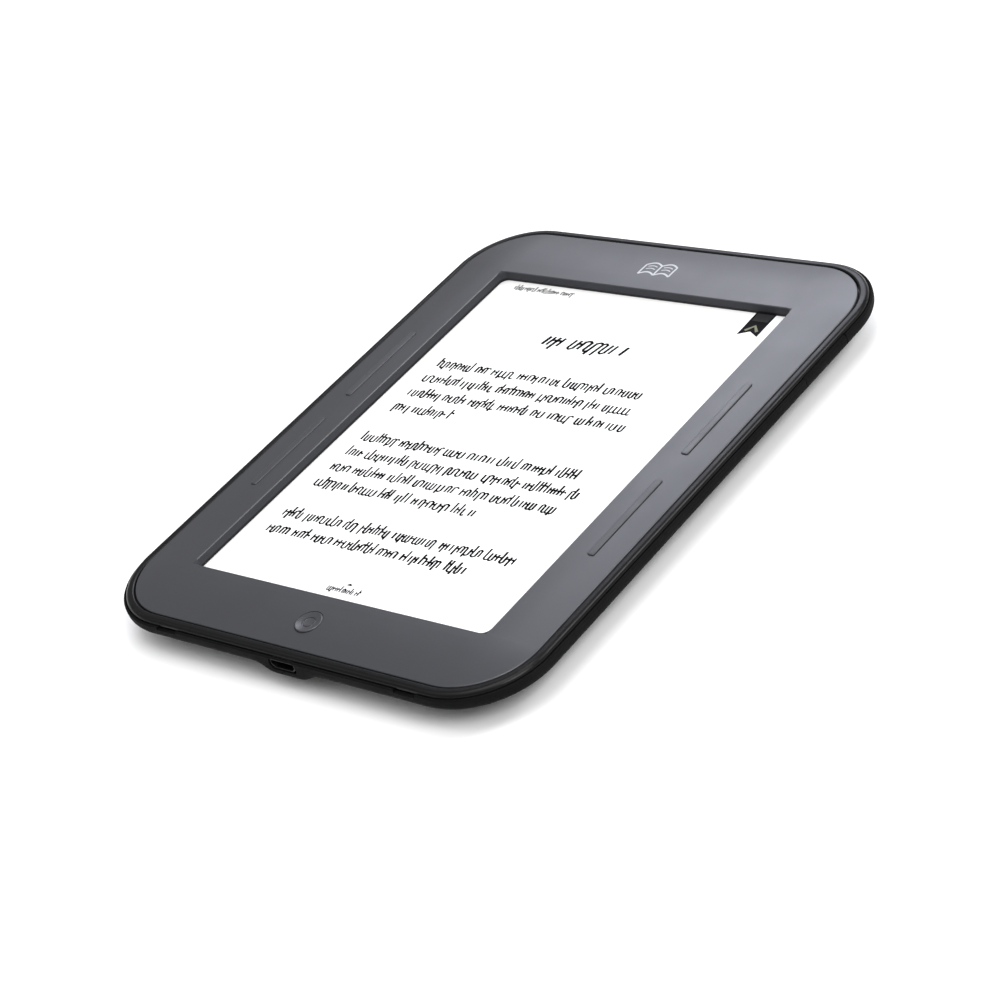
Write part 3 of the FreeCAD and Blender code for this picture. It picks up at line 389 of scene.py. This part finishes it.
def clear_panel(name):
    """Thin backplane glass with a faint pixel grid."""
    s = Shade(name)
    grid = s.math("MAXIMUM", s.waves(0.15, "X", 0.0), s.waves(0.15, "Y", 0.0))
    body = s.mix(s.remap(grid, 0.9, 1.0), rgb(0.55, 0.60, 0.58), rgb(0.42, 0.46, 0.45))
    return s.done(body, s.vary(s.noise(3.0), 0.05, 0.12), s.relief(grid, 0.0005))


def rubbery(name, colour, rough=0.7):
    """Silicone or foam: matt, slightly dusty, with fine pores."""
    s = Shade(name)
    pores = s.cells(0.3)
    dust = s.noise(2.5, detail=5.0)
    body = s.mix(s.remap(dust, 0.4, 0.75, 0.0, 0.5), tinted(colour, 0.9), tinted(colour, 1.5))
    gloss = s.vary(dust, rough - 0.08, rough + 0.08)
    return s.done(body, gloss, s.relief(pores, 0.02), specular=0.35)


def film_amber(name):
    """Polyimide film over copper tracks."""
    s = Shade(name)
    tracks = s.remap(s.waves(0.5, "X", 0.4), 0.5, 0.6)
    body = s.mix(tracks, rgb(0.30, 0.13, 0.02), rgb(0.52, 0.25, 0.05))
    body = s.mix(s.remap(s.noise(1.0), 0.35, 0.7, 0.0, 0.3), body, rgb(0.40, 0.18, 0.03))
    return s.done(body, s.vary(s.noise(2.0), 0.22, 0.34), s.relief(tracks, 0.008))


def floor_paint(name):
    """Plain pale floor."""
    s = Shade(name)
    slow = s.noise(120.0)
    body = s.mix(s.vary(slow), rgb(0.93, 0.93, 0.93), rgb(0.95, 0.95, 0.95))
    return s.done(body, s.vary(s.noise(40.0), 0.75, 0.9), specular=0.2)


def finishes():
    """One material for each of the record's slots, and the printed ones."""
    slate = rgb(0.0325, 0.0335, 0.0385)
    return {
        "bezel_matte": face_plastic("bezel_matte", slate, 0.34),
        "key_matte": moulded("key_matte", slate, 0.34, grain=0.20, depth=0.003,
                             specular=FACE_SPECULAR, spread=0.05, wear=0.25),
        "cover_rubber": soft_touch("cover_rubber", rgb(0.004, 0.004, 0.0042)),
        "rim_satin": moulded("rim_satin", rgb(0.0035, 0.0035, 0.0038), 0.30, grain=0.10, depth=0.002,
                             specular=0.18, wear=0.1),
        "filter_dark": filter_plastic("filter_dark", rgb(0.012, 0.011, 0.013), slate),
        "page_film": page_surface("page_film"),
        "panel_glass": clear_panel("panel_glass"),
        "light_metal": metal_sheet("light_metal", rgb(0.62, 0.63, 0.65), 0.42),
        "steel": metal_sheet("steel", rgb(0.60, 0.60, 0.61), 0.30),
        "screw_steel": metal_sheet("screw_steel", rgb(0.22, 0.22, 0.23), 0.36, stretch=(3.0, 3.0, 3.0)),
        "board_green": circuit_board("board_green"),
        "chip_black": moulded("chip_black", rgb(0.030, 0.030, 0.032), 0.55, grain=0.1, depth=0.006),
        "flex_amber": film_amber("flex_amber"),
        "connector_cream": moulded("connector_cream", rgb(0.74, 0.69, 0.58), 0.48, wear=0.1),
        "silicone_grey": rubbery("silicone_grey", rgb(0.22, 0.22, 0.23)),
        "foam_black": rubbery("foam_black", rgb(0.025, 0.025, 0.025), 0.85),
        "tape_white": rubbery("tape_white", rgb(0.55, 0.55, 0.53), 0.6),
        "pouch_foil": foil("pouch_foil", rgb(0.66, 0.67, 0.68)),
        "tray_plastic": moulded("tray_plastic", rgb(0.09, 0.09, 0.10), 0.5),
        "lead_insulation": rubbery("lead_insulation", rgb(0.35, 0.02, 0.02), 0.45),
        "page_ink": ink("page_ink", rgb(0.006, 0.006, 0.007)),
        "page_grey": ink("page_grey", rgb(0.026, 0.026, 0.028)),
        "page_pale": ink("page_pale", rgb(0.16, 0.16, 0.12)),
        "print_silver": ink("print_silver", rgb(0.42, 0.43, 0.45)),
        "port_shell": metal_sheet("port_shell", rgb(0.020, 0.020, 0.021), 0.50),
        "contact_gold": metal_sheet("contact_gold", rgb(0.83, 0.58, 0.22), 0.24),
    }


def dress_nodes(finish):
    """Gives every CAD node the material of its slot."""
    for part in frame["record"]["subparts"]:
        node = part["node"]
        for slot in NODES[node].material_slots:
            slot.material = finish[OWN_FINISH.get(node, part["material_slot"])]


# ---- mesh work -----------------------------------------------------------------------------
class Plates:
    """Collects thin closed plates, drawn as outlines in millimetres, into one piece."""

    def __init__(self, name, material, level, thickness=INK_T):
        self.name = name
        self.material = material
        self.level = level                # gives the surface height at (x, y), in metres
        self.thickness = thickness * MM
        self.mesh = bmesh.new()

    def plate(self, outline):
        """Adds one plate; the outline runs anticlockwise."""
        low, high = [], []
        for x, y in outline:
            z = self.level(x * MM, y * MM)
            low.append(self.mesh.verts.new((x * MM, y * MM, z - self.thickness * INK_SINK)))
            high.append(self.mesh.verts.new((x * MM, y * MM, z + self.thickness)))
        self.mesh.faces.new(high)
        self.mesh.faces.new(low[::-1])
        for i in range(len(low)):
            j = (i + 1) % len(low)
            self.mesh.faces.new((low[i], low[j], high[j], high[i]))

    def stroke(self, points, pen):
        """Adds a pen stroke along the points; pen is its width at each of them."""
        sides = []
        for i, (x, y) in enumerate(points):
            ax, ay = points[max(i - 1, 0)]
            bx, by = points[min(i + 1, len(points) - 1)]
            length = math.hypot(bx - ax, by - ay)
            nx, ny = -(by - ay) / length * pen[i] / 2, (bx - ax) / length * pen[i] / 2
            sides.append(((x + nx, y + ny), (x - nx, y - ny)))
        self.ribbon([side[0] for side in sides], [side[1] for side in sides])

    def ribbon(self, left, right):
        """Adds one closed strip between two rows of points."""
        rows = []
        for (lx, ly), (rx, ry) in zip(left, right):
            row = []
            for x, y in ((lx, ly), (rx, ry)):
                z = self.level(x * MM, y * MM)
                row.append(self.mesh.verts.new((x * MM, y * MM, z - self.thickness * INK_SINK)))
                row.append(self.mesh.verts.new((x * MM, y * MM, z + self.thickness)))
            rows.append(row)
        for a, b in zip(rows, rows[1:]):
            self.mesh.faces.new((a[1], a[3], b[3], b[1]))
            self.mesh.faces.new((a[0], b[0], b[2], a[2]))
            self.mesh.faces.new((a[0], a[1], b[1], b[0]))
            self.mesh.faces.new((a[2], b[2], b[3], a[3]))
        first, last = rows[0], rows[-1]
        self.mesh.faces.new((first[0], first[2], first[3], first[1]))
        self.mesh.faces.new((last[0], last[1], last[3], last[2]))

    def piece(self):
        """Makes the piece and lets it ride on the reader's body."""
        bmesh.ops.recalc_face_normals(self.mesh, faces=self.mesh.faces)
        data = bpy.data.meshes.new(self.name)
        self.mesh.to_mesh(data)
        self.mesh.free()
        data.materials.append(self.material)
        made = bpy.data.objects.new(self.name, data)
        bpy.context.scene.collection.objects.link(made)
        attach(made, BODY)


def flat_level(z):
    """Level for plates that lie at one height."""
    return lambda x, y: z


def surface_level(node):
    """Height of a node's upper surface at (x, y), found by a ray from above."""
    data = NODES[node].data
    tree = BVHTree.FromPolygons([v.co for v in data.vertices], [p.vertices for p in data.polygons])

    def level(x, y):
        return tree.ray_cast(Vector((x, y, 1.0)), Vector((0, 0, -1)))[0].z

    return level


# ---- what the page shows -------------------------------------------------------------------
def scribble(plates, left, right, middle, height, dice, slant=0.0, heavy=STROKE_PEN):
    """One line of abstract writing: words of upright strokes, joined here and there by thin arcs."""
    x = left
    base = middle - height / 2
    step = STROKE_STEP * height
    while x < right - step:
        strokes = dice.randint(*WORD_STROKES)
        word_end = min(x + strokes * step, right)
        while x <= word_end - step * WORD_END:
            kind = dice.random()
            top = base + height * (TALL_H if kind > TALL_ABOVE else 1.0)
            bottom = base - height * (DEEP_H if kind < DEEP_BELOW else 0.0)
            pen = heavy * height * dice.uniform(*PEN_SPREAD)
            foot_x = x + slant * (bottom - base)
            plates.stroke([(foot_x, bottom), (foot_x + slant * (top - bottom), top)], (pen, pen))
            gap = step * dice.choice(STROKE_GAPS)
            if x + gap < word_end and dice.random() < ARC_SHARE:
                rise = dice.choice(ARC_RISES)
                bow = 1 if rise >= 0.5 else -1
                arc = []
                for k in range(ARC_POINTS):
                    t = k / (ARC_POINTS - 1)
                    sag = math.sin(math.pi * t) * ARC_SAG * height * bow
                    y = base + height * (ARC_FOOT + ARC_REACH * rise) + sag
                    arc.append((x + gap * t + slant * (y - base), y))
                plates.stroke(arc, [pen * ARC_PEN] * ARC_POINTS)
            x += gap
        x = word_end + step * WORD_GAP


def page_text(finish, level):
    """Title, three paragraphs, header and page number, as one piece of abstract writing."""
    dice = random.Random(11)
    text = Plates("page_text", finish["page_ink"], level)
    for first, ends in PARAGRAPHS:
        for row, end in enumerate(ends):
            scribble(text, TEXT_LEFT, end, first - row * LINE_PITCH, X_HEIGHT, dice)
    left, right, middle, height = TITLE
    scribble(text, left, right, middle, height, dice, slant=TITLE_SLANT, heavy=TITLE_PEN)
    for left, right, middle, height in (HEADER, PAGE_NUMBER):
        scribble(text, left, right, middle, height, dice)
    x, y = PAGE_TICK
    text.plate([(x - TICK_W / 2, y - TICK_DOWN), (x + TICK_W / 2, y - TICK_DOWN), (x, y + TICK_UP)])
    text.piece()


def page_ribbon(finish, level):
    """Bookmark in the page's upper right corner: a folded ribbon with a notched end."""
    x0, x1 = RIBBON_LEFT, RIBBON_RIGHT
    mid = (x0 + x1) / 2
    y0, y1 = RIBBON_BOTTOM, RIBBON_TOP
    ribbon = Plates("page_ribbon", finish["page_ink"], level)
    ribbon.ribbon([(x0, y1), (x0, y0)], [(mid, y1), (mid, y0 + RIBBON_NOTCH)])
    ribbon.ribbon([(mid, y1), (mid, y0 + RIBBON_NOTCH)], [(x1, y1), (x1, y0)])
    fold = Plates("page_ribbon_fold", finish["page_grey"], level, INK_T * 2)
    foot = [(x0 + FOLD_FOOT_IN, y1 - FOLD_H), (x1 - FOLD_FOOT_IN, y1 - FOLD_H)]
    fold.plate(foot + [(x1 - FOLD_TOP_IN, y1), (x0 + FOLD_TOP_IN, y1)])
    chevron = Plates("page_ribbon_chevron", finish["page_pale"], level, INK_T * 2)
    left, right = (x0 + CHEVRON_IN, y0 + CHEVRON_FOOT), (x1 - CHEVRON_IN, y0 + CHEVRON_FOOT)
    chevron.stroke([left, (mid, y0 + CHEVRON_TOP), right], [CHEVRON_PEN] * 3)
    for plates in (ribbon, fold, chevron):
        plates.piece()


def spread_out(a, b, count):
    """Points from a to b in even steps, both ends included."""
    return [(a[0] + (b[0] - a[0]) * k / count, a[1] + (b[1] - a[1]) * k / count) for k in range(count + 1)]


def bezel_pictogram(finish):
    """Small open book with lines on its pages, printed on the bezel above the screen."""
    book = Plates("bezel_pictogram", finish["print_silver"], surface_level("front_bezel"))
    cx, cy = BOOK_AT
    half_w, half_h = BOOK_W / 2, BOOK_H / 2
    low, high = cy - half_h, cy + half_h * BOOK_TOP

    def page_line(side, y, start=0.0, end=1.0, pen=BOOK_PEN):
        line = []
        for k in range(BOOK_BOW_STEPS + 1):
            t = start + (end - start) * k / BOOK_BOW_STEPS
            bow = BOOK_BOW * BOOK_H * math.sin(math.pi * t)
            line.append((cx + side * t * half_w, y + bow))
        book.stroke(line, [pen] * len(line))

    def upright(x):
        line = spread_out((x, low), (x, high), BOOK_SIDE_STEPS)
        book.stroke(line, [BOOK_PEN] * len(line))

    for side in (-1, 1):
        page_line(side, high)
        page_line(side, low)
        for share in BOOK_LINES:
            page_line(side, cy + half_h * share, *BOOK_LINE_ENDS, BOOK_PEN * BOOK_LINE_PEN)
        upright(cx + side * half_w)
    upright(cx)
    book.piece()


def port_contacts(finish):
    """Five sprung contacts on the tongue of the port."""
    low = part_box("usb_socket")[0]
    level = flat_level(low.z + CONTACT_Z * MM - CONTACT_T * MM)
    contacts = Plates("usb_contacts", finish["contact_gold"], level, CONTACT_T)
    y0 = low.y / MM + CONTACT_Y
    y1 = y0 + CONTACT_L
    for i in range(CONTACT_COUNT):
        x = (i - (CONTACT_COUNT - 1) / 2) * CONTACT_PITCH
        x0, x1 = x - CONTACT_W / 2, x + CONTACT_W / 2
        contacts.ribbon([(x0, y0), (x0, y1)], [(x1, y0), (x1, y1)])
    contacts.piece()


# ---- stage ---------------------------------------------------------------------------------
def add_camera():
    data = bpy.data.cameras.new("camera")
    data.lens = CAMERA_LENS
    data.sensor_width = CAMERA_SENSOR
    data.clip_start, data.clip_end = CAMERA_CLIP
    camera = bpy.data.objects.new("camera", data)
    aim = (CAMERA_AIM - CAMERA_AT).to_track_quat("-Z", "Y").to_matrix().to_4x4()
    camera.matrix_world = Matrix.Translation(CAMERA_AT) @ aim @ Matrix.Rotation(CAMERA_ROLL, 4, "Z")
    bpy.context.scene.collection.objects.link(camera)
    bpy.context.scene.camera = camera


def softbox(name, azimuth, elevation, distance, size, power, colour):
    """Rectangular light that looks at the reader; azimuth is anticlockwise from +X, angles in degrees."""
    a, e = math.radians(azimuth), math.radians(elevation)
    at = Vector((math.cos(a) * math.cos(e), math.sin(a) * math.cos(e), math.sin(e))) * distance
    data = bpy.data.lights.new(name, "AREA")
    data.shape = "RECTANGLE"
    data.size, data.size_y = size
    data.energy = power
    data.color = colour
    lamp = bpy.data.objects.new(name, data)
    lamp.matrix_world = Matrix.Translation(at) @ (-at).to_track_quat("-Z", "Y").to_matrix().to_4x4()
    bpy.context.scene.collection.objects.link(lamp)


def add_studio():
    world = bpy.data.worlds.new("studio")
    world.use_nodes = True
    background = world.node_tree.nodes["Background"]
    background.inputs["Color"].default_value = rgb(1.0, 1.0, 1.0)
    background.inputs["Strength"].default_value = WORLD_STRENGTH
    scene = bpy.context.scene
    scene.world = world
    scene.view_settings.view_transform = "Standard"
    for light in LIGHTS:
        softbox(*light)


def add_floor():
    mesh = bpy.data.meshes.new("floor")
    half = FLOOR_SIZE / 2
    corners = [(-half, -half, 0), (half, -half, 0), (half, half, 0), (-half, half, 0)]
    mesh.from_pydata(corners, [], [(0, 1, 2, 3)])
    mesh.materials.append(floor_paint("floor_paint"))
    floor = bpy.data.objects.new("floor", mesh)
    bpy.context.scene.collection.objects.link(floor)


def main():
    finish = finishes()
    dress_nodes(finish)
    level = flat_level(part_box("epaper_film")[1].z)
    page_text(finish, level)
    page_ribbon(finish, level)
    bezel_pictogram(finish)
    port_contacts(finish)
    add_studio()
    add_floor()
    add_camera()


main()
